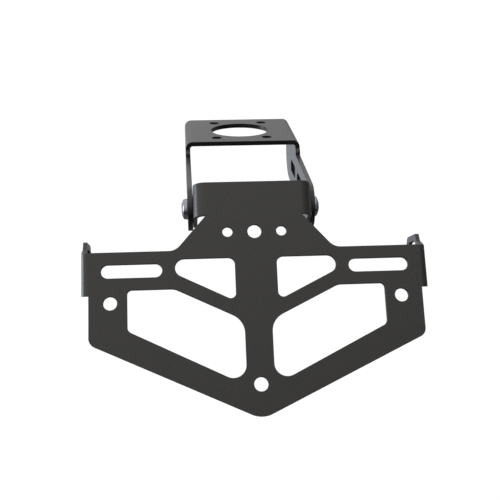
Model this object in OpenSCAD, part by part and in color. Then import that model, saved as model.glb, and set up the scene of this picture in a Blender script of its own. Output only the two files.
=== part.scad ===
// Tail tidy: a folded bracket that bolts under the tail, and a folded number
// plate holder that tilts on two pivot bolts between the bracket's arms.
// Frame: X right, Y away from the viewer, Z up; the origin is the centre of the
// large round hole, on the top face of the bracket. Lengths in mm.

/* [Bracket] */
// Width of the bracket over its two side flanges
bracket_w = 80.8; // [60:0.2:120]
// Sheet thickness of the bracket
bracket_t = 3.2; // [2:0.1:4]
// Outside radius of the two bends of the bracket
bracket_bend_r = 5; // [4:0.2:8]
// Depth of the top plate, front to back
top_depth = 72.4; // [64:0.2:90]
// Diameter of the large round hole for the wires
wire_hole_d = 42.2; // [20:0.2:46]
// Spacing of the four tail bolts across the top plate
tail_bolt_dx = 35.8; // [35:0.2:50]
// Spacing of the four tail bolts along the top plate
tail_bolt_dy = 48.4; // [46:0.2:56]
// Diameter of the four tail bolt holes
tail_bolt_hole_d = 7.2; // [5.5:0.1:9]
// Drop of the side flange at its front and rear edges
flange_drop = 10.6; // [9:0.2:13]
// Height at which the step in front of the flange begins
step_drop = 5.9; // [5.2:0.1:7]
// How far that step stands out in front of the top plate
step_out = 3.2; // [2.6:0.1:5]
// Radius of the round corners of the flange
flange_corner_r = 3.2; // [1:0.1:4]
// Radius of the rounded rear end of the arm
arm_rear_r = 22.5; // [20:0.5:24]
// Place of the middle of that round end, front to back
arm_rear_y = -0.9; // [-6:0.1:6]
// Height of the middle of that round end
arm_rear_z = -15.2; // [-18:0.1:-13]
// Radius of the round front end of the arm
arm_front_r = 14.8; // [13:0.2:16]
// How far that round end sits above the pivot
arm_front_lift = 0.8; // [0:0.1:1.5]

/* [Arm slots] */
// Width of the slots in the arms
arm_slot_w = 8.4; // [6:0.1:10]
// Length of each slot in the arms
arm_slot_l = 26.2; // [16:0.2:28]
// Distance between the middles of the two slots of an arm
arm_slot_pitch = 36.1; // [34:0.1:37]
// Middle of the rear slot, front to back
arm_slot_y = -25.1; // [-27:0.1:-20]
// Height of the middle of the slots
arm_slot_z = -23.9; // [-26:0.1:-22]

/* [Pivot] */
// Distance of the pivot in front of the wire hole
pivot_reach = 103; // [100:0.5:115]
// Distance of the pivot below the top face
pivot_drop = 28.1; // [26:0.1:30]
// Tilt of the holder face away from upright, in degrees
holder_tilt = 34.2; // [10:0.1:55]
// Thread diameter of the pivot bolts
bolt_d = 8; // [6:1:8]
// Clearance of a bolt in its hole, on the diameter
bolt_play = 0.4; // [0.3:0.05:1]
// Gap between an ear and the arm outside it
ear_gap = 0.2; // [0.1:0.05:0.3]
// Gap between a bolt head and the arm that turns under it
head_gap = 0.1; // [0.05:0.05:0.2]
// Head diameter of the pivot bolts
bolt_head_d = 13.6; // [11:0.1:16]
// Head height of the pivot bolts
bolt_head_h = 4.3; // [3.6:0.1:5]
// Length of a pivot bolt under its head
bolt_l = 12; // [10:1:16]
// Width across the flats of the bolt socket
socket_af = 5; // [4:0.5:6]
// Depth of the bolt socket
socket_depth = 2.8; // [1.5:0.1:3.2]
// Outside diameter of the tapped collar on the inner side of an ear
collar_d = 9.8; // [9.4:0.1:10]
// Length of the tapped collar
collar_l = 2.5; // [1.5:0.1:4]
// Play of the thread, on the diameter
thread_play = 0.02; // [0.01:0.01:0.05]

/* [Plate holder] */
// Sheet thickness of the plate holder
holder_t = 2.5; // [1.5:0.1:3]
// Width of the holder face
holder_w = 202.4; // [196:0.2:230]
// Outside radius of the bends of the side tabs
tab_bend_r = 4.6; // [3:0.1:5.2]
// Outside radius of the two bends of the neck
neck_bend_r = 7.4; // [5:0.1:9]
// Height of the neck before it widens
neck_h = 21.4; // [20:0.1:24]
// Slope of the neck sides, fall over run
neck_slope = 1.147; // [0.9:0.01:1.4]
// Distance of the shoulders below the top of the neck
shoulder_v = 43.3; // [40:0.1:46]
// Radius between a neck side and a shoulder
shoulder_fillet = 9; // [2:0.1:12]
// Distance of the lower corners of the sides below the top of the neck
corner_v = 99; // [96:0.5:110]
// Distance of the sharp point of the lower edge below the top of the neck
point_v = 146.2; // [140:0.5:156]
// Rounding of the point of the lower edge
point_r = 14.7; // [4:0.1:20]
// Rounding of the lower corners of the sides
corner_r = 5.5; // [1:0.1:10]
// Height of the pivot holes below the top of the neck
ear_pivot_v = 9.2; // [8.5:0.1:11]
// Distance of the pivot holes behind the face
ear_pivot_w = 26.5; // [25:0.1:30]

/* [Holes in the holder] */
// Distance of the lamp holes below the top of the neck
lamp_v = 32.2; // [30:0.1:34]
// Spacing of the two small lamp holes
lamp_dx = 33.2; // [26:0.1:36]
// Diameter of the two small lamp holes
lamp_hole_d = 6.3; // [4:0.1:7]
// Diameter of the lamp cable hole between them
lamp_cable_d = 8.6; // [6:0.1:12]
// Distance of the plate slots below the top of the neck
slot_v = 55.2; // [54:0.1:57]
// Distance of the middle of a plate slot from the centre line
slot_u = 75.3; // [74:0.1:76]
// Length of the plate slots
slot_l = 36.8; // [20:0.2:37.2]
// Width of the plate slots
slot_w = 8.4; // [5:0.1:9]
// Spacing of the two side holes
side_dx = 176.6; // [172:0.2:178]
// Distance of the side holes below the top of the neck
side_v = 74.7; // [72:0.1:78]
// Diameter of the side holes
side_hole_d = 8.3; // [5:0.1:9]
// Distance of the bottom hole below the top of the neck
bottom_v = 125.8; // [122:0.1:128]
// Diameter of the bottom hole
bottom_hole_d = 8.5; // [5:0.1:9]

/* [Windows] */
// Distance of the top of the upper windows below the top of the neck
upper_v = 48.4; // [47.5:0.1:50]
// Distance of the upper windows from the centre line
upper_u = 12.8; // [10:0.1:16]
// Distance of the sharp tip of the upper windows below the top of the neck
upper_tip_v = 75.55; // [70:0.05:77]
// Slope of the lower side of the upper windows
upper_slope = 0.495; // [0.47:0.005:0.55]
// Rounding of the outer end of the upper windows
upper_end_r = 5.65; // [5:0.05:6]
// Distance of the top of the lower windows below the top of the neck
lower_v = 66.9; // [66:0.1:70]
// Distance of the inner side of the lower windows from the centre line
lower_u = 8.3; // [7:0.1:14]
// Distance of the outer side of the lower windows from the centre line
lower_out_u = 78.15; // [74:0.05:80]
// Distance of the upper inner corner of the lower windows below the neck top
lower_in_v = 87.1; // [86:0.1:92]
// Slope of the upper side of the lower windows
lower_top_slope = 0.487; // [0.45:0.001:0.5]
// Distance of the lower inner corner of the lower windows below the neck top
lower_tip_v = 126.35; // [118:0.05:127]
// Slope of the lower side of the lower windows
lower_slope = 0.495; // [0.45:0.005:0.52]
// Rounding of the upper inner corner of the upper windows
upper_in_r = 4.1; // [2:0.1:5]
// Rounding of the lower tip of the upper windows
upper_tip_r = 3.2; // [2:0.1:4]
// Rounding of the bend in the top of the lower windows
lower_bend_r = 9; // [5:0.5:12]
// Rounding of the upper outer corner of the lower windows
lower_out_r = 2.8; // [1.5:0.1:4]
// Rounding of the lower outer corner of the lower windows
lower_side_r = 4; // [2:0.1:6]
// Rounding of the lower inner corner of the lower windows
lower_tip_r = 7.8; // [5:0.1:9]
// Rounding of the upper inner corner of the lower windows
lower_in_r = 12; // [8:0.5:14]

/* [Side tabs] */
// Distance of the lower edge of the side tabs below the top of the neck
tab_v = 70.2; // [68:0.1:71]
// Distance of the lobe's upper front corner below the top of the neck
lobe_v = 32.8; // [30:0.1:34]
// Distance of the lobe's upper front corner behind the face
lobe_w = 14; // [13:0.1:15]
// Height of the lobe's straight front edge
lobe_front = 5.1; // [3:0.1:6]
// Distance of the foot of that edge behind the face
lobe_foot_w = 12.2; // [10:0.1:12.8]
// Rise of the lobe toward the rear, in degrees
lobe_rise = 8; // [0:0.5:15]
// Height of the lobe
lobe_h = 20; // [18:0.2:23]
// Length of the lobe along its upper edge
lobe_l = 20.8; // [18:0.2:22]
// Length of the cut corners at the rear of the lobe
lobe_cut = 5.4; // [3:0.1:6]
// Rounding of the corners at the rear of the lobe
lobe_r = 1.5; // [0.5:0.1:2]
// Rounding of the lobe's upper front corner
lobe_front_r = 2; // [1:0.1:3]
// Length of the indicator slot
lamp_slot_l = 20.4; // [14:0.2:21]
// Width of the indicator slot
lamp_slot_w = 10; // [7:0.1:10.4]

/* [Hidden] */
$fn = 40;
over = 1;
far = 130;
bracket_x = bracket_w / 2;
inner_x = bracket_x - bracket_t;
top_y = top_depth / 2;
hole_d = bolt_d + bolt_play;
ear_x = inner_x - ear_gap;
ear_in_x = ear_x - holder_t;
face_x = holder_w / 2;
tab_x = face_x + tab_bend_r;
neck_x = ear_x - neck_bend_r;
shoulder_u = neck_x + (shoulder_v - neck_h) / neck_slope;
ear_end_r = neck_h / 2;
pitch_r = bolt_d / 2;
head_r = bolt_head_d / 2;
dome_r = head_r * 1.75;

// Unit vector from one point to another
function toward(a, b) = [b[0] - a[0], b[1] - a[1]] / norm([b[0] - a[0], b[1] - a[1]]);
// Direction from corner i of an outline to the corner k places on
function side_dir(c, i, k) = toward(c[i], c[(i + len(c) + k) % len(c)]);
// Half of the angle at corner i of an outline
function half_angle(c, i) = acos(side_dir(c, i, -1) * side_dir(c, i, 1)) / 2;
// Where the rounding of corner i touches the side toward the corner k places on
function touch(c, i, k) = [c[i][0], c[i][1]] + side_dir(c, i, k) * c[i][2] / tan(half_angle(c, i));
// Middle of the rounding of corner i
function round_mid(c, i) = [c[i][0], c[i][1]]
  + toward([0, 0], side_dir(c, i, -1) + side_dir(c, i, 1)) * c[i][2] / sin(half_angle(c, i));
// Share of the distance between two circles that their radii differ by
function radius_share(a, ra, b, rb) = (ra - rb) / norm([b[0] - a[0], b[1] - a[1]]);
// Direction d turned so that k of it stays along d
function turned(d, k, side) = d * k + side * [-d[1], d[0]] * sqrt(1 - k * k);
// Direction square to the line that touches two circles on one side
function tangent_dir(a, ra, b, rb, side) = turned(toward(a, b), radius_share(a, ra, b, rb), side);

// Convex outline with true rounds; each corner is its place and its radius
module rounded(c) {
  polygon([for (i = [0 : len(c) - 1], k = [-1, 1]) if (c[i][2] > 0 || k > 0) touch(c, i, k)]);
  for (i = [0 : len(c) - 1])
    if (c[i][2] > 0)
      translate(round_mid(c, i)) circle(r = c[i][2]);
}

// Rounded inside corner at the middle one of three points
module inside_round(c) {
  difference() {
    polygon([[c[1][0], c[1][1]], touch(c, 1, -1), touch(c, 1, 1)]);
    translate(round_mid(c, 1)) circle(r = c[1][2]);
  }
}

// Slot outline along the first axis
module slot(length, width) {
  square([length - width, width], center = true);
  for (s = [-1, 1])
    translate([s * (length - width) / 2, 0]) circle(d = width);
}

// Both sides of the object
module both() {
  children();
  mirror([1, 0, 0]) children();
}

// Side view of a flange with its arm, first axis Y and second axis Z
module bracket_side() {
  front = [-pivot_reach, -pivot_drop + arm_front_lift];
  rear = [arm_rear_y, arm_rear_z];
  start = [-top_y - step_out, -flange_drop + 0.5];
  up = tangent_dir(start, 0, front, arm_front_r, -1);
  down = tangent_dir(front, arm_front_r, rear, arm_rear_r, -1);
  rounded([[-top_y, over, 0], [top_y, over, 0], [top_y, -flange_drop, flange_corner_r],
    [-top_y, -flange_drop, 0]]);
  rounded([[-top_y - step_out, -step_drop, flange_corner_r - 0.2], [-top_y + 2, -step_drop, 0],
    [-top_y + 2, -flange_drop - 2, 0], [-top_y - step_out, -flange_drop - 2, 0]]);
  polygon([start, front + up * arm_front_r, front, front + down * arm_front_r, rear + down * arm_rear_r,
    rear, [arm_rear_y, -flange_drop + 1], [-top_y, -flange_drop + 1]]);
  translate(front) circle(r = arm_front_r);
  intersection() {
    translate(rear) circle(r = arm_rear_r);
    translate([-far, -far - flange_drop / 2]) square([2 * far, far]);
  }
  rear_fillet();
}

// Inside corner where the round rear end of the arm meets the flange
module rear_fillet() {
  r = 3;
  z = -flange_drop - r;
  y = arm_rear_y + sqrt(pow(arm_rear_r + r, 2) - pow(z - arm_rear_z, 2));
  difference() {
    polygon([[y, -flange_drop + 0.2], [y, -flange_drop],
      [y, z] + toward([y, z], [arm_rear_y, arm_rear_z]) * r, [y - 4, z], [y - 4, -flange_drop + 0.2]]);
    translate([y, z]) circle(r = r);
  }
}

// Folded bracket: one sheet with two bends
module upper_bracket() {
  color("#4a4a4c")
  difference() {
    both() intersection() {
      rotate([90, 0, 0]) linear_extrude(height = 2 * far, center = true) difference() {
        rounded([[-over, 0, 0], [bracket_x, 0, bracket_bend_r], [bracket_x, -far, 0], [-over, -far, 0]]);
        rounded([[-2 * over, -bracket_t, 0], [inner_x, -bracket_t, bracket_bend_r - bracket_t],
          [inner_x, -far - over, 0], [-2 * over, -far - over, 0]]);
      }
      rotate([90, 0, 90]) linear_extrude(height = bracket_w + 4, center = true) bracket_side();
    }
    translate([0, 0, -bracket_t - over]) cylinder(d = wire_hole_d, h = bracket_t + 2 * over, $fn = 72);
    for (x = [-0.5, 0.5], y = [-0.5, 0.5])
      translate([x * tail_bolt_dx, y * tail_bolt_dy, -bracket_t - over])
        cylinder(d = tail_bolt_hole_d, h = bracket_t + 2 * over);
    rotate([90, 0, 90]) linear_extrude(height = bracket_w + 4, center = true) {
      for (k = [0, 1])
        translate([arm_slot_y - k * arm_slot_pitch, arm_slot_z]) slot(arm_slot_l, arm_slot_w);
    }
    translate([-bracket_w, -pivot_reach, -pivot_drop]) rotate([0, 90, 0])
      cylinder(d = hole_d, h = 2 * bracket_w);
  }
}

// Outline of the holder face; the second axis is zero at the top of the neck
module face_outline() {
  rounded([[-face_x, -shoulder_v, 0], [face_x, -shoulder_v, 0], [face_x, -corner_v, corner_r],
    [0, -point_v, point_r], [-face_x, -corner_v, corner_r]]);
  polygon([[-neck_x, 0], [neck_x, 0], [neck_x, -neck_h], [shoulder_u, -shoulder_v],
    [shoulder_u, -shoulder_v - over], [-shoulder_u, -shoulder_v - over], [-shoulder_u, -shoulder_v],
    [-neck_x, -neck_h]]);
  both()
    inside_round([[face_x, -shoulder_v, 0], [shoulder_u, -shoulder_v, shoulder_fillet],
      [neck_x, -neck_h, 0]]);
}

// Windows, slots and holes of the right half of the face
module face_cuts() {
  upper_end_u = upper_u + (upper_tip_v - upper_v) / upper_slope;
  bend_u = lower_u + (lower_in_v - lower_v) / lower_top_slope;
  low_out_v = lower_tip_v - (lower_out_u - lower_u) * lower_slope;
  rounded([[upper_u, -upper_v, upper_in_r], [upper_end_u, -upper_v, upper_end_r],
    [upper_u, -upper_tip_v, upper_tip_r]]);
  rounded([[bend_u, -lower_v, lower_bend_r], [lower_out_u, -lower_v, lower_out_r],
    [lower_out_u, -low_out_v, lower_side_r], [lower_u, -lower_tip_v, lower_tip_r],
    [lower_u, -lower_in_v, lower_in_r]]);
  translate([slot_u, -slot_v]) slot(slot_l, slot_w);
}

// Section of one bend with its leg; first axis outward, second axis forward
module bend_section(outer_x, r, leg) {
  difference() {
    union() {
      intersection() {
        translate([outer_x - r, -r]) circle(r = r);
        translate([outer_x - r, -r]) square([r + over, r + over]);
      }
      translate([outer_x - r, -leg]) square([r, leg - r]);
    }
    translate([outer_x - r, -r]) circle(r = r - holder_t);
    translate([outer_x - r - over, -leg - over]) square([r + over - holder_t, leg + over - r]);
  }
}

// Side view of an ear, first axis along the face and second axis forward
module ear_side() {
  translate([-neck_h, -ear_pivot_w]) square([neck_h, ear_pivot_w + over]);
  translate([-ear_end_r, -ear_pivot_w]) circle(r = ear_end_r);
}

// Side view of an indicator tab with its raised lobe
module tab_side() {
  back = [sin(lobe_rise), -cos(lobe_rise)];
  down = [-cos(lobe_rise), -sin(lobe_rise)];
  a = [-lobe_v, -lobe_w];
  b = a + back * lobe_l;
  e = b + back * lobe_cut * 0.7 + down * lobe_cut * 0.9;
  g = e + down * (lobe_h - 1.8 * lobe_cut);
  h = b + down * lobe_h;
  difference() {
    rounded([[a[0], a[1], lobe_front_r], [b[0], b[1], lobe_r], [e[0], e[1], lobe_r], [g[0], g[1], lobe_r],
      [h[0], h[1], lobe_r],
      [-tab_v + 1, -tab_bend_r, 0], [-tab_v, 0, 0], [-shoulder_v, 0, 0], [-shoulder_v, -2.7, 0],
      [-lobe_v - lobe_front, -lobe_foot_w, 0]]);
    translate(a + back * (lobe_l / 2 - 0.2) + down * (lobe_h / 2 - 0.9)) rotate([0, 0, -90 + lobe_rise])
      slot(lamp_slot_l, lamp_slot_w);
  }
}

// Number plate holder: one sheet with four bends, drawn with its face upright
module plate_holder_flat() {
  difference() {
    union() {
      translate([0, 0, -holder_t]) linear_extrude(height = holder_t) difference() {
        face_outline();
        both() face_cuts();
      }
      both() {
        intersection() {
          rotate([90, 0, 0]) linear_extrude(height = neck_h) bend_section(ear_x, neck_bend_r, far);
          rotate([90, 0, 90]) linear_extrude(height = 2 * ear_x) ear_side();
        }
        intersection() {
          rotate([90, 0, 0]) linear_extrude(height = tab_v + over) bend_section(tab_x, tab_bend_r, far);
          rotate([90, 0, 90]) linear_extrude(height = 2 * tab_x) tab_side();
        }
        translate([ear_in_x - collar_l, -ear_pivot_v, -ear_pivot_w]) rotate([0, 90, 0])
          cylinder(d1 = collar_d, d2 = collar_d + 0.6, h = collar_l + holder_t / 2);
      }
    }
    for (s = [-0.5, 0.5]) {
      translate([s * lamp_dx, -lamp_v, -2 * holder_t]) cylinder(d = lamp_hole_d, h = 3 * holder_t);
      translate([s * side_dx, -side_v, -2 * holder_t]) cylinder(d = side_hole_d, h = 3 * holder_t);
    }
    translate([0, -lamp_v, -2 * holder_t]) cylinder(d = lamp_cable_d, h = 3 * holder_t);
    translate([0, -bottom_v, -2 * holder_t]) cylinder(d = bottom_hole_d, h = 3 * holder_t);
    translate([-2 * ear_x, -ear_pivot_v, -ear_pivot_w]) rotate([0, 90, 0])
      cylinder(d = bolt_d + thread_play, h = 4 * ear_x);
  }
}

// The holder in its place, turned about the pivot
module plate_holder() {
  color("#3c3b3a")
  translate([0, -pivot_reach, -pivot_drop]) rotate([90 - holder_tilt, 0, 0])
    translate([0, ear_pivot_v, ear_pivot_w]) plate_holder_flat();
}

// Button head bolt along the first axis, head outward, screwed into the collar of the ear
module pivot_bolt() {
  color("#c9ccd0")
  translate([bracket_x + head_gap, -pivot_reach, -pivot_drop]) rotate([0, 90, 0]) difference() {
    union() {
      rotate_extrude() intersection() {
        circle(r = head_r);
        translate([0, bolt_head_h - dome_r]) circle(r = dome_r, $fn = 72);
        square([head_r, bolt_head_h]);
      }
      translate([0, 0, -bolt_l + 0.8]) cylinder(r = pitch_r, h = bolt_l);
      translate([0, 0, -bolt_l]) cylinder(r1 = pitch_r - 0.8, r2 = pitch_r, h = 0.8);
    }
    translate([0, 0, bolt_head_h - socket_depth])
      cylinder(d = socket_af / cos(30), h = socket_depth + over, $fn = 6);
  }
}

upper_bracket();
plate_holder();
mirror([1, 0, 0]) pivot_bolt();  // pivot_bolt_left
pivot_bolt();  // pivot_bolt_right
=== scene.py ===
# Looks of a tail tidy: coats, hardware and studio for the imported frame.
import math

import bpy
from mathutils import Matrix, Vector


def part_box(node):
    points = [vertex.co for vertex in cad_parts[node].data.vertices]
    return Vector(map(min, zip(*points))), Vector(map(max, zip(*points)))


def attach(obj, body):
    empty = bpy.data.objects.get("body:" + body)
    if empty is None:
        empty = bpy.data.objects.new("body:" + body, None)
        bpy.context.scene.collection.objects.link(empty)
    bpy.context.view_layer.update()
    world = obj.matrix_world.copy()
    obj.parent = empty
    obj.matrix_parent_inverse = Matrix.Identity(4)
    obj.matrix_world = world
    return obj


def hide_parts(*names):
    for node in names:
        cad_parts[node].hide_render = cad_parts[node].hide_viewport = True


bl_info = {
    "name": "Tail Tidy",
    "version": (1, 0, 0),
    "blender": (4, 5, 0),
    "location": "3D View > Sidebar > Tail Tidy",
    "description": "Dresses the folded bracket and plate holder of a tail tidy",
    "category": "Object",
}

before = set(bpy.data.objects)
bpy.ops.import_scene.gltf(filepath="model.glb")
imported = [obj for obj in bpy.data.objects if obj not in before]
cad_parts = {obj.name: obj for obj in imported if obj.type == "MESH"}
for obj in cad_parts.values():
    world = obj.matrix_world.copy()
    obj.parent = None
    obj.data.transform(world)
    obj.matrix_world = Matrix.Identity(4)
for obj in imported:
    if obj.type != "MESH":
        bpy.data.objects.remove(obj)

# Powder coat: spans of its speckle, its slow drift and its roughness
PEEL_SPAN = (0.3, 0.7)
SPECKLE = (0.7, 1.3)
DRIFT = (0.95, 1.05)
SATIN = (0.28, 0.35)
COAT_DETAIL = 2.0
CLOUDS_PER_METRE = 14.0
PEEL_STRENGTH = 0.35

# Cut edges of the folded sheets
MERGE_WITHIN = 0.000002
FLAT_WITHIN = math.radians(0.3)
CUT_EDGE = math.radians(40.0)
SHEET_SMOOTH = math.radians(38.0)

# Bright zinc plate
ZINC_ROUGHNESS = 0.13
ZINC_SMOOTHEST = 0.8
ZINC_ROUGHEST = 1.25
ZINC_DARKEST = 0.88
ZINC_DETAIL = 3.0
ZINC_CELLS_PER_METRE = 420.0

# Pivot bolts: shank, tip, neck under the head, domed head and socket
SHANK_SIDES = 64
TIP_CAP = 0.0002
TIP_LENGTH = 0.0006
TIP_CHAMFER = 0.0005
NECK_LENGTH = 0.0004
NECK_FLARE = 0.0003
HEAD_LIP = 0.0002
HEAD_SIDE = 0.0006
DOME = 1.75
DOME_STEPS = 14
SOCKET_FLAT = 0.66
SOCKET_DEPTH = 0.0028
BOLT_SMOOTH = math.radians(35.0)

# Thread on the shank
RIDGE = 0.0006
RIDGE_STEPS = 40
THREAD_START = 0.0012
THREAD_END = 0.001

# Studio
FLOOR_SIZE = 60.0
FLOOR_PAPER = (0.3, 0.3, 0.3, 1.0)
FLOOR_ROUGHNESS = 0.9
FLOOR_SHINE = (0.72, 0.76, 0.84, 1.0)
ROOM_SHINE = (1.1, 1.12, 1.17, 1.0)
WHITE = (1.0, 1.0, 1.0)
SKY_BLUE = (0.86, 0.93, 1.0)
LAMP_AIM = Vector((0.0, -0.05, -0.05))

# Camera as solved from the photograph: its place, and which way is right and ahead
EYE = Vector((-0.043074, -0.674710, 0.152416))
RIGHT = Vector((0.99716, -0.07535, -0.00123))
AHEAD = Vector((0.07034, 0.93649, -0.34358))
SENSOR_WIDTH = 36.0
CLIP_START = 0.01


class CoatLook(bpy.types.PropertyGroup):
    """Powder coat of the two folded sheets."""

    colour: bpy.props.FloatVectorProperty(
        name="Coat colour",
        description="Colour of the satin black powder coat",
        subtype="COLOR",
        size=4,
        min=0.0,
        max=1.0,
        default=(0.029, 0.0262, 0.0215, 1.0),
    )
    grain: bpy.props.FloatProperty(
        name="Grain",
        description="Size of the fine orange peel of the coat",
        subtype="DISTANCE",
        unit="LENGTH",
        default=0.0009,
        min=0.0001,
        max=0.005,
    )
    bump: bpy.props.FloatProperty(
        name="Grain height",
        description="Height of the orange peel",
        subtype="DISTANCE",
        unit="LENGTH",
        default=0.00003,
        min=0.0,
        max=0.001,
    )
    edge_round: bpy.props.FloatProperty(
        name="Edge round",
        description="Radius that the coat gives the cut edges of the sheets",
        subtype="DISTANCE",
        unit="LENGTH",
        default=0.0003,
        min=0.0001,
        max=0.0006,
    )


class BoltLook(bpy.types.PropertyGroup):
    """Sizes and finish of the two pivot bolts."""

    pitch: bpy.props.FloatProperty(
        name="Thread pitch",
        description="Advance of the thread in one turn",
        subtype="DISTANCE",
        unit="LENGTH",
        default=0.00125,
        min=0.0008,
        max=0.002,
    )
    root: bpy.props.FloatProperty(
        name="Thread root",
        description="Radius of the shank at the bottom of the thread",
        subtype="DISTANCE",
        unit="LENGTH",
        default=0.00338,
        min=0.002,
        max=0.0038,
    )
    head_height: bpy.props.FloatProperty(
        name="Head height",
        description="Height of the domed head",
        subtype="DISTANCE",
        unit="LENGTH",
        default=0.0043,
        min=0.003,
        max=0.006,
    )
    socket: bpy.props.FloatProperty(
        name="Socket",
        description="Width of the six-sided socket across its flats",
        subtype="DISTANCE",
        unit="LENGTH",
        default=0.005,
        min=0.003,
        max=0.006,
    )
    plating: bpy.props.FloatVectorProperty(
        name="Plating colour",
        description="Colour of the bright zinc plate",
        subtype="COLOR",
        size=4,
        min=0.0,
        max=1.0,
        default=(0.32, 0.32, 0.325, 1.0),
    )


class StageLook(bpy.types.PropertyGroup):
    """Studio round the object."""

    floor_z: bpy.props.FloatProperty(
        name="Floor height",
        description="Height of the floor below the top face of the bracket",
        subtype="DISTANCE",
        unit="LENGTH",
        default=-2.0,
    )
    lens: bpy.props.FloatProperty(
        name="Lens",
        description="Focal length of the camera in millimetres",
        subtype="DISTANCE_CAMERA",
        unit="CAMERA",
        default=66.74,
        min=10.0,
        max=200.0,
    )
    room: bpy.props.FloatProperty(
        name="Room light",
        description="Strength of the even light from all sides",
        default=0.04,
        min=0.0,
        max=2.0,
    )


def noise(tree, detail):
    """Noise texture that is fixed to the piece."""
    place = tree.nodes.new("ShaderNodeTexCoord")
    node = tree.nodes.new("ShaderNodeTexNoise")
    node.inputs["Detail"].default_value = detail
    tree.links.new(place.outputs["Object"], node.inputs["Vector"])
    return node


def spread(tree, value, reads, gives):
    """Turns the span that a value covers into another span."""
    node = tree.nodes.new("ShaderNodeMapRange")
    for socket, number in zip(("From Min", "From Max", "To Min", "To Max"), reads + gives):
        node.inputs[socket].default_value = number
    tree.links.new(value, node.inputs["Value"])
    return node


def combined(tree, operation, first, second):
    """One number from two, by a math node."""
    node = tree.nodes.new("ShaderNodeMath")
    node.operation = operation
    tree.links.new(first, node.inputs[0])
    tree.links.new(second, node.inputs[1])
    return node.outputs[0]


def powder_grain_group():
    """Shared orange peel and speckle of the powder coat."""
    group = bpy.data.node_groups.get("powder_grain")
    if group:
        return group
    group = bpy.data.node_groups.new("powder_grain", "ShaderNodeTree")
    group.interface.new_socket("Colour", in_out="INPUT", socket_type="NodeSocketColor")
    group.interface.new_socket("Cells per metre", in_out="INPUT", socket_type="NodeSocketFloat")
    group.interface.new_socket("Colour", in_out="OUTPUT", socket_type="NodeSocketColor")
    group.interface.new_socket("Roughness", in_out="OUTPUT", socket_type="NodeSocketFloat")
    group.interface.new_socket("Height", in_out="OUTPUT", socket_type="NodeSocketFloat")
    links = group.links
    source = group.nodes.new("NodeGroupInput")
    target = group.nodes.new("NodeGroupOutput")
    peel = noise(group, COAT_DETAIL)
    links.new(source.outputs["Cells per metre"], peel.inputs["Scale"])
    cloud = noise(group, COAT_DETAIL)
    cloud.inputs["Scale"].default_value = CLOUDS_PER_METRE
    speckle = spread(group, peel.outputs["Fac"], PEEL_SPAN, SPECKLE)
    drift = spread(group, cloud.outputs["Fac"], (0.0, 1.0), DRIFT)
    satin = spread(group, peel.outputs["Fac"], PEEL_SPAN, SATIN)
    both = combined(group, "MULTIPLY", speckle.outputs["Result"], drift.outputs["Result"])
    tint = group.nodes.new("ShaderNodeVectorMath")
    tint.operation = "SCALE"
    links.new(source.outputs["Colour"], tint.inputs[0])
    links.new(both, tint.inputs["Scale"])
    links.new(tint.outputs[0], target.inputs["Colour"])
    links.new(satin.outputs["Result"], target.inputs["Roughness"])
    links.new(peel.outputs["Fac"], target.inputs["Height"])
    return group


def coat_material(name, look):
    """Satin black powder coat on steel sheet."""
    material = bpy.data.materials.new(name)
    material.use_nodes = True
    nodes, links = material.node_tree.nodes, material.node_tree.links
    shader = nodes["Principled BSDF"]
    grain = nodes.new("ShaderNodeGroup")
    grain.node_tree = powder_grain_group()
    grain.inputs["Colour"].default_value = look.colour
    grain.inputs["Cells per metre"].default_value = 1.0 / look.grain
    bump = nodes.new("ShaderNodeBump")
    bump.inputs["Strength"].default_value = PEEL_STRENGTH
    bump.inputs["Distance"].default_value = look.bump
    links.new(grain.outputs["Colour"], shader.inputs["Base Color"])
    links.new(grain.outputs["Roughness"], shader.inputs["Roughness"])
    links.new(grain.outputs["Height"], bump.inputs["Height"])
    links.new(bump.outputs["Normal"], shader.inputs["Normal"])
    return material


def pick_none():
    """Leaves object mode with nothing selected."""
    if bpy.context.object and bpy.context.object.mode != "OBJECT":
        bpy.ops.object.mode_set(mode="OBJECT")
    bpy.ops.object.select_all(action="DESELECT")


def pick(piece):
    """Makes one object the selected and active one."""
    pick_none()
    piece.select_set(True)
    bpy.context.view_layer.objects.active = piece


def softened(node, name, width, coat):
    """Copy of a folded sheet with the small round that the coat gives its cut edges."""
    piece = bpy.data.objects.new(name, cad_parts[node].data.copy())
    bpy.context.scene.collection.objects.link(piece)
    pick(piece)
    piece.data.materials.clear()
    piece.data.materials.append(coat)
    bpy.ops.object.mode_set(mode="EDIT")
    bpy.ops.mesh.select_all(action="SELECT")
    bpy.ops.mesh.remove_doubles(threshold=MERGE_WITHIN)
    bpy.ops.mesh.dissolve_limited(angle_limit=FLAT_WITHIN, use_dissolve_boundaries=False)
    bpy.ops.object.mode_set(mode="OBJECT")
    round_over = piece.modifiers.new("coat_round", "BEVEL")
    round_over.width = width
    round_over.segments = 2
    round_over.limit_method = "ANGLE"
    round_over.angle_limit = CUT_EDGE
    round_over.use_clamp_overlap = True
    bpy.ops.object.modifier_apply(modifier="coat_round")
    bpy.ops.object.shade_smooth_by_angle(angle=SHEET_SMOOTH)
    even = piece.modifiers.new("even_normals", "WEIGHTED_NORMAL")
    even.mode = "FACE_AREA"
    even.weight = 50
    even.keep_sharp = True
    bpy.ops.object.modifier_apply(modifier="even_normals")
    return piece


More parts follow.
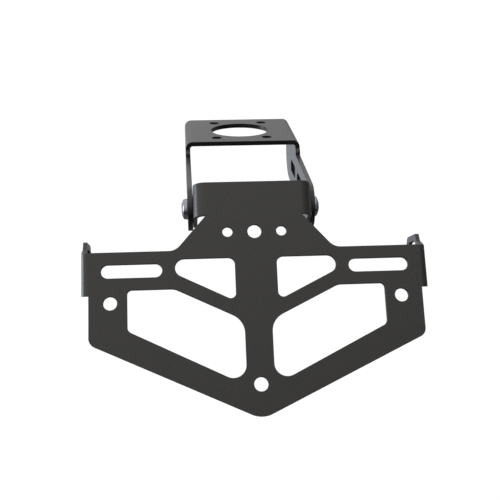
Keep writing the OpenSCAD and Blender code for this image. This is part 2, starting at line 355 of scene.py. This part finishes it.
def zinc_material(name, colour):
    """Bright plated steel with a faint mottled grain."""
    material = bpy.data.materials.new(name)
    material.use_nodes = True
    tree = material.node_tree
    shader = tree.nodes["Principled BSDF"]
    shader.inputs["Metallic"].default_value = 1.0
    cloud = noise(tree, ZINC_DETAIL)
    cloud.inputs["Scale"].default_value = ZINC_CELLS_PER_METRE
    tone = tree.nodes.new("ShaderNodeMix")
    tone.data_type = "RGBA"
    tone.inputs["A"].default_value = [part * ZINC_DARKEST for part in colour[:3]] + [1.0]
    tone.inputs["B"].default_value = colour
    roughness = (ZINC_ROUGHNESS * ZINC_SMOOTHEST, ZINC_ROUGHNESS * ZINC_ROUGHEST)
    rough = spread(tree, cloud.outputs["Fac"], (0.0, 1.0), roughness)
    tree.links.new(cloud.outputs["Fac"], tone.inputs["Factor"])
    tree.links.new(tone.outputs["Result"], shader.inputs["Base Color"])
    tree.links.new(rough.outputs["Result"], shader.inputs["Roughness"])
    return material


class TIDY_OT_bracket(bpy.types.Operator):
    """Coat the upper bracket"""

    bl_idname = "tidy.bracket"
    bl_label = "Upper bracket"

    def execute(self, context):
        look = context.scene.tidy_coat
        coat = coat_material("bracket_coat", look)
        piece = softened("upper_bracket", "bracket_sheet", look.edge_round, coat)
        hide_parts("upper_bracket")
        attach(piece, "bracket")
        return {"FINISHED"}


class TIDY_OT_holder(bpy.types.Operator):
    """Coat the plate holder"""

    bl_idname = "tidy.holder"
    bl_label = "Plate holder"

    def execute(self, context):
        look = context.scene.tidy_coat
        coat = coat_material("holder_coat", look)
        piece = softened("plate_holder", "holder_sheet", look.edge_round, coat)
        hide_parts("plate_holder")
        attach(piece, "holder")
        return {"FINISHED"}


def grow(step, centre, size):
    """Extrudes the selected cap along the bolt and resizes it about the axis."""
    bpy.ops.mesh.extrude_region_move(TRANSFORM_OT_translate={"value": (step, 0.0, 0.0)})
    bpy.ops.transform.resize(value=(1.0, size, size), center_override=centre)


def dome_height(look, head_r, radius):
    """Height above the seat at which the top of the domed head has this radius."""
    dome_r = head_r * DOME
    return look.head_height - dome_r + math.sqrt(dome_r**2 - radius**2)


def head_radius(look, head_r, height):
    """Radius of the domed head at a height above its seat: a round side under a flatter top."""
    dome_r = head_r * DOME
    side = math.sqrt(max(head_r**2 - height**2, 0.0))
    top = math.sqrt(max(dome_r**2 - (height - look.head_height + dome_r) ** 2, 0.0))
    return min(side, top)


def bolt_places(look, low, high):
    """Axis, head radius and seat of a bolt along X, whose dome ends where the socket cuts it."""
    axis_y = (low[1] + high[1]) / 2.0
    axis_z = (low[2] + high[2]) / 2.0
    head_r = (high[1] - low[1]) / 2.0
    seat_x = high[0] - dome_height(look, head_r, look.socket / 2.0)
    return axis_y, axis_z, head_r, seat_x


def head_profile(look, head_r, seat_x):
    """Places and radii up the head, from its seat to the flat ring round the socket."""
    flat_r = look.socket * SOCKET_FLAT
    steps = [(seat_x, head_r - HEAD_LIP), (seat_x + HEAD_LIP, head_r)]
    for k in range(1, DOME_STEPS + 1):
        height = look.head_height * math.sin(k / DOME_STEPS * math.pi / 2.0)
        radius = head_radius(look, head_r, height)
        if height >= HEAD_SIDE and radius >= flat_r:
            steps.append((seat_x + height, radius))
    steps.append((seat_x + dome_height(look, head_r, flat_r), flat_r))
    return steps


def cut_socket(body, place, width):
    """Sinks the six-sided socket into the head."""
    pick_none()
    bpy.ops.mesh.primitive_cylinder_add(
        vertices=6,
        radius=width / math.sqrt(3.0),
        depth=2.0 * SOCKET_DEPTH,
        location=place,
        rotation=(0.0, math.pi / 2.0, 0.0),
    )
    key = bpy.context.object
    pick(body)
    cut = body.modifiers.new("socket", "BOOLEAN")
    cut.operation = "DIFFERENCE"
    cut.solver = "EXACT"
    cut.object = key
    bpy.ops.object.modifier_apply(modifier="socket")
    bpy.data.objects.remove(key, do_unlink=True)


def bolt_body(look, low, high):
    """Shank at the thread root and domed head with its socket, along X."""
    axis_y, axis_z, head_r, seat_x = bolt_places(look, low, high)
    tip_x = low[0]
    pick_none()
    bpy.ops.mesh.primitive_cylinder_add(
        vertices=SHANK_SIDES,
        radius=look.root - TIP_CHAMFER,
        depth=TIP_CAP,
        location=(tip_x + TIP_CAP / 2.0, axis_y, axis_z),
        rotation=(0.0, math.pi / 2.0, 0.0),
    )
    body = bpy.context.object
    bpy.ops.object.transform_apply(location=True, rotation=True, scale=True)
    bpy.ops.object.mode_set(mode="EDIT")
    bpy.ops.mesh.select_all(action="DESELECT")
    bpy.ops.object.mode_set(mode="OBJECT")
    for face in body.data.polygons:
        face.select = face.normal.x > 0.9
    bpy.ops.object.mode_set(mode="EDIT")
    bpy.ops.mesh.select_mode(type="FACE")
    shank = [
        (tip_x + TIP_LENGTH, look.root),
        (seat_x - NECK_LENGTH, look.root),
        (seat_x, look.root + NECK_FLARE),
    ]
    here, wide = tip_x + TIP_CAP, look.root - TIP_CHAMFER
    for there, radius in shank + head_profile(look, head_r, seat_x):
        grow(there - here, (there, axis_y, axis_z), radius / wide)
        here, wide = there, radius
    bpy.ops.object.mode_set(mode="OBJECT")
    cut_socket(body, (here, axis_y, axis_z), look.socket)
    return body


def bolt_thread(look, low, high):
    """Ridge of the thread wound round the shank."""
    axis_y, axis_z, _, seat_x = bolt_places(look, low, high)
    start_x = low[0] + THREAD_START
    pick_none()
    bpy.ops.mesh.primitive_circle_add(
        vertices=4,
        radius=RIDGE,
        fill_type="NOTHING",
        location=(start_x, axis_y, axis_z),
        rotation=(math.pi / 2.0, 0.0, 0.0),
    )
    ridge = bpy.context.object
    bpy.ops.object.mode_set(mode="EDIT")
    bpy.ops.mesh.select_all(action="SELECT")
    bpy.ops.transform.translate(value=(0.0, 0.0, look.root))
    bpy.ops.object.mode_set(mode="OBJECT")
    wind = ridge.modifiers.new("wind", "SCREW")
    wind.axis = "X"
    wind.angle = 2.0 * math.pi
    wind.screw_offset = look.pitch
    wind.iterations = int((seat_x - start_x - THREAD_END) / look.pitch)
    wind.steps = RIDGE_STEPS
    wind.render_steps = RIDGE_STEPS
    bpy.ops.object.modifier_apply(modifier="wind")
    bpy.ops.object.transform_apply(location=True, rotation=True, scale=True)
    bpy.ops.object.mode_set(mode="EDIT")
    bpy.ops.mesh.select_mode(type="VERT")
    bpy.ops.mesh.select_all(action="SELECT")
    bpy.ops.mesh.fill_holes(sides=4)
    bpy.ops.mesh.select_all(action="SELECT")
    bpy.ops.mesh.normals_make_consistent(inside=False)
    bpy.ops.object.mode_set(mode="OBJECT")
    return ridge


class TIDY_OT_hardware(bpy.types.Operator):
    """Make the two pivot bolts with their threads and sockets"""

    bl_idname = "tidy.hardware"
    bl_label = "Pivot bolts"

    def execute(self, context):
        look = context.scene.tidy_bolt
        low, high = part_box("pivot_bolt_right")
        body = bolt_body(look, low, high)
        ridge = bolt_thread(look, low, high)
        pick(body)
        ridge.select_set(True)
        bpy.ops.object.join()
        body.name = "pivot_bolt_right_threaded"
        body.data.materials.clear()
        body.data.materials.append(zinc_material("bolt_zinc", look.plating))
        bpy.ops.object.shade_smooth_by_angle(angle=BOLT_SMOOTH)

        bpy.ops.object.duplicate(linked=False)
        other = context.object
        other.name = "pivot_bolt_left_threaded"
        bpy.ops.object.mode_set(mode="EDIT")
        bpy.ops.mesh.select_all(action="SELECT")
        middle = (0.0, (low[1] + high[1]) / 2.0, 0.0)
        bpy.ops.transform.rotate(value=math.pi, orient_axis="Z", center_override=middle)
        bpy.ops.object.mode_set(mode="OBJECT")
        for side, piece in (("right", body), ("left", other)):
            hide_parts("pivot_bolt_" + side)
            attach(piece, "holder")
        return {"FINISHED"}


def backdrop_colour(tree, shine):
    """Pure white for camera rays and the tone of the studio for glossy rays."""
    paths = tree.nodes.new("ShaderNodeLightPath")
    tone = tree.nodes.new("ShaderNodeMix")
    tone.data_type = "RGBA"
    tone.inputs["A"].default_value = (*WHITE, 1.0)
    tone.inputs["B"].default_value = shine
    tree.links.new(paths.outputs["Is Glossy Ray"], tone.inputs["Factor"])
    return tone.outputs["Result"]


def backdrop_strength(tree, place, along, span, least):
    """Full for camera and transmission rays, and for glossy rays fading along one direction."""
    paths = tree.nodes.new("ShaderNodeLightPath")
    reach = tree.nodes.new("ShaderNodeVectorMath")
    reach.operation = "DOT_PRODUCT"
    reach.inputs[1].default_value = along
    tree.links.new(place, reach.inputs[0])
    fade = spread(tree, reach.outputs["Value"], span, (least, 1.0))
    fade.interpolation_type = "SMOOTHSTEP"
    shine = combined(tree, "MULTIPLY", paths.outputs["Is Glossy Ray"], fade.outputs["Result"])
    seen = combined(tree, "MAXIMUM", paths.outputs["Is Camera Ray"], shine)
    return combined(tree, "MAXIMUM", seen, paths.outputs["Is Transmission Ray"])


def paper_material():
    """White paper that keeps the object's shadow."""
    paper = bpy.data.materials.new("white_paper")
    paper.use_nodes = True
    tree = paper.node_tree
    base = tree.nodes["Principled BSDF"]
    base.inputs["Base Color"].default_value = FLOOR_PAPER
    base.inputs["Roughness"].default_value = FLOOR_ROUGHNESS
    place = tree.nodes.new("ShaderNodeTexCoord")
    seen = backdrop_strength(
        tree, place.outputs["Object"], along=(-1.0, 1.0, 0.0), span=(2.5, 7.5), least=0.12
    )
    glow = tree.nodes.new("ShaderNodeEmission")
    tree.links.new(backdrop_colour(tree, FLOOR_SHINE), glow.inputs["Color"])
    tree.links.new(seen, glow.inputs["Strength"])
    both = tree.nodes.new("ShaderNodeAddShader")
    tree.links.new(base.outputs[0], both.inputs[0])
    tree.links.new(glow.outputs[0], both.inputs[1])
    tree.links.new(both.outputs[0], tree.nodes["Material Output"].inputs["Surface"])
    return paper


def white_room(look):
    """World that is white to the camera and dark on the viewer's low side to glossy rays."""
    world = bpy.data.worlds.new("room")
    world.use_nodes = True
    tree = world.node_tree
    even = tree.nodes["Background"]
    tree.links.new(backdrop_colour(tree, ROOM_SHINE), even.inputs["Color"])
    place = tree.nodes.new("ShaderNodeTexCoord")
    seen = backdrop_strength(
        tree, place.outputs["Generated"], along=(-0.45, 0.1, 1.0), span=(-0.2, 0.9), least=0.2
    )
    level = tree.nodes.new("ShaderNodeMath")
    level.operation = "MAXIMUM"
    level.inputs[1].default_value = look.room
    tree.links.new(seen, level.inputs[0])
    tree.links.new(level.outputs[0], even.inputs["Strength"])
    return world


def hang_lamp(name, place, size, power, tint, mirrored):
    """Square lamp aimed at the object, which reflections show only where mirrored is true."""
    bpy.ops.object.light_add(type="AREA", location=place)
    lamp = bpy.context.object
    lamp.name = name
    lamp.data.shape = "SQUARE"
    lamp.data.size = size
    lamp.data.energy = power
    lamp.data.color = tint
    lamp.visible_camera = False
    lamp.visible_glossy = mirrored
    lamp.rotation_euler = (LAMP_AIM - Vector(place)).to_track_quat("-Z", "Y").to_euler()


def solved_camera(look):
    """Camera at the place from which the photograph was taken."""
    ahead = AHEAD.normalized()
    up = RIGHT.normalized().cross(ahead).normalized()
    right = ahead.cross(up).normalized()
    camera = bpy.data.objects.new("camera", bpy.data.cameras.new("camera"))
    bpy.context.scene.collection.objects.link(camera)
    camera.data.sensor_width = SENSOR_WIDTH
    camera.data.lens = look.lens
    camera.data.clip_start = CLIP_START
    turn = Matrix((right, up, -ahead)).transposed().to_4x4()
    camera.matrix_world = Matrix.Translation(EYE) @ turn
    return camera


class TIDY_OT_stage(bpy.types.Operator):
    """Build the floor, lamps, room light and camera"""

    bl_idname = "tidy.stage"
    bl_label = "Studio"

    def execute(self, context):
        look = context.scene.tidy_stage
        scene = context.scene
        scene.view_settings.view_transform = "Standard"
        pick_none()
        bpy.ops.mesh.primitive_plane_add(size=FLOOR_SIZE, location=(0.0, 0.0, look.floor_z))
        floor = context.object
        floor.name = "floor"
        floor.data.materials.append(paper_material())
        scene.world = white_room(look)
        hang_lamp("top_lamp", (-0.35, -0.05, 1.1), size=0.5, power=13.0, tint=WHITE, mirrored=False)
        hang_lamp("left_lamp", (-1.1, 0.2, -0.05), size=0.55, power=4.0, tint=SKY_BLUE, mirrored=True)
        hang_lamp("right_lamp", (1.0, 0.6, 0.1), size=0.7, power=10.0, tint=WHITE, mirrored=False)
        hang_lamp("back_lamp", (0.2, 1.0, -0.5), size=0.7, power=12.0, tint=WHITE, mirrored=False)
        scene.camera = solved_camera(look)
        return {"FINISHED"}


class TIDY_PT_panel(bpy.types.Panel):
    """Steps that dress the tail tidy"""

    bl_idname = "TIDY_PT_panel"
    bl_label = "Tail Tidy"
    bl_space_type = "VIEW_3D"
    bl_region_type = "UI"
    bl_category = "Tail Tidy"

    def draw(self, context):
        column = self.layout.column()
        for step in STEPS:
            column.operator(step.bl_idname)
        for look in (context.scene.tidy_coat, context.scene.tidy_bolt, context.scene.tidy_stage):
            for name in type(look).__annotations__:
                column.prop(look, name)


STEPS = (TIDY_OT_bracket, TIDY_OT_holder, TIDY_OT_hardware, TIDY_OT_stage)
CLASSES = (CoatLook, BoltLook, StageLook) + STEPS + (TIDY_PT_panel,)


def register():
    for one in CLASSES:
        bpy.utils.register_class(one)
    bpy.types.Scene.tidy_coat = bpy.props.PointerProperty(type=CoatLook)
    bpy.types.Scene.tidy_bolt = bpy.props.PointerProperty(type=BoltLook)
    bpy.types.Scene.tidy_stage = bpy.props.PointerProperty(type=StageLook)


def unregister():
    del bpy.types.Scene.tidy_stage
    del bpy.types.Scene.tidy_bolt
    del bpy.types.Scene.tidy_coat
    for one in reversed(CLASSES):
        bpy.utils.unregister_class(one)


def main():
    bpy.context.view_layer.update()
    register()
    bpy.ops.tidy.bracket()
    bpy.ops.tidy.holder()
    bpy.ops.tidy.hardware()
    bpy.ops.tidy.stage()


if __name__ == "__main__":
    main()
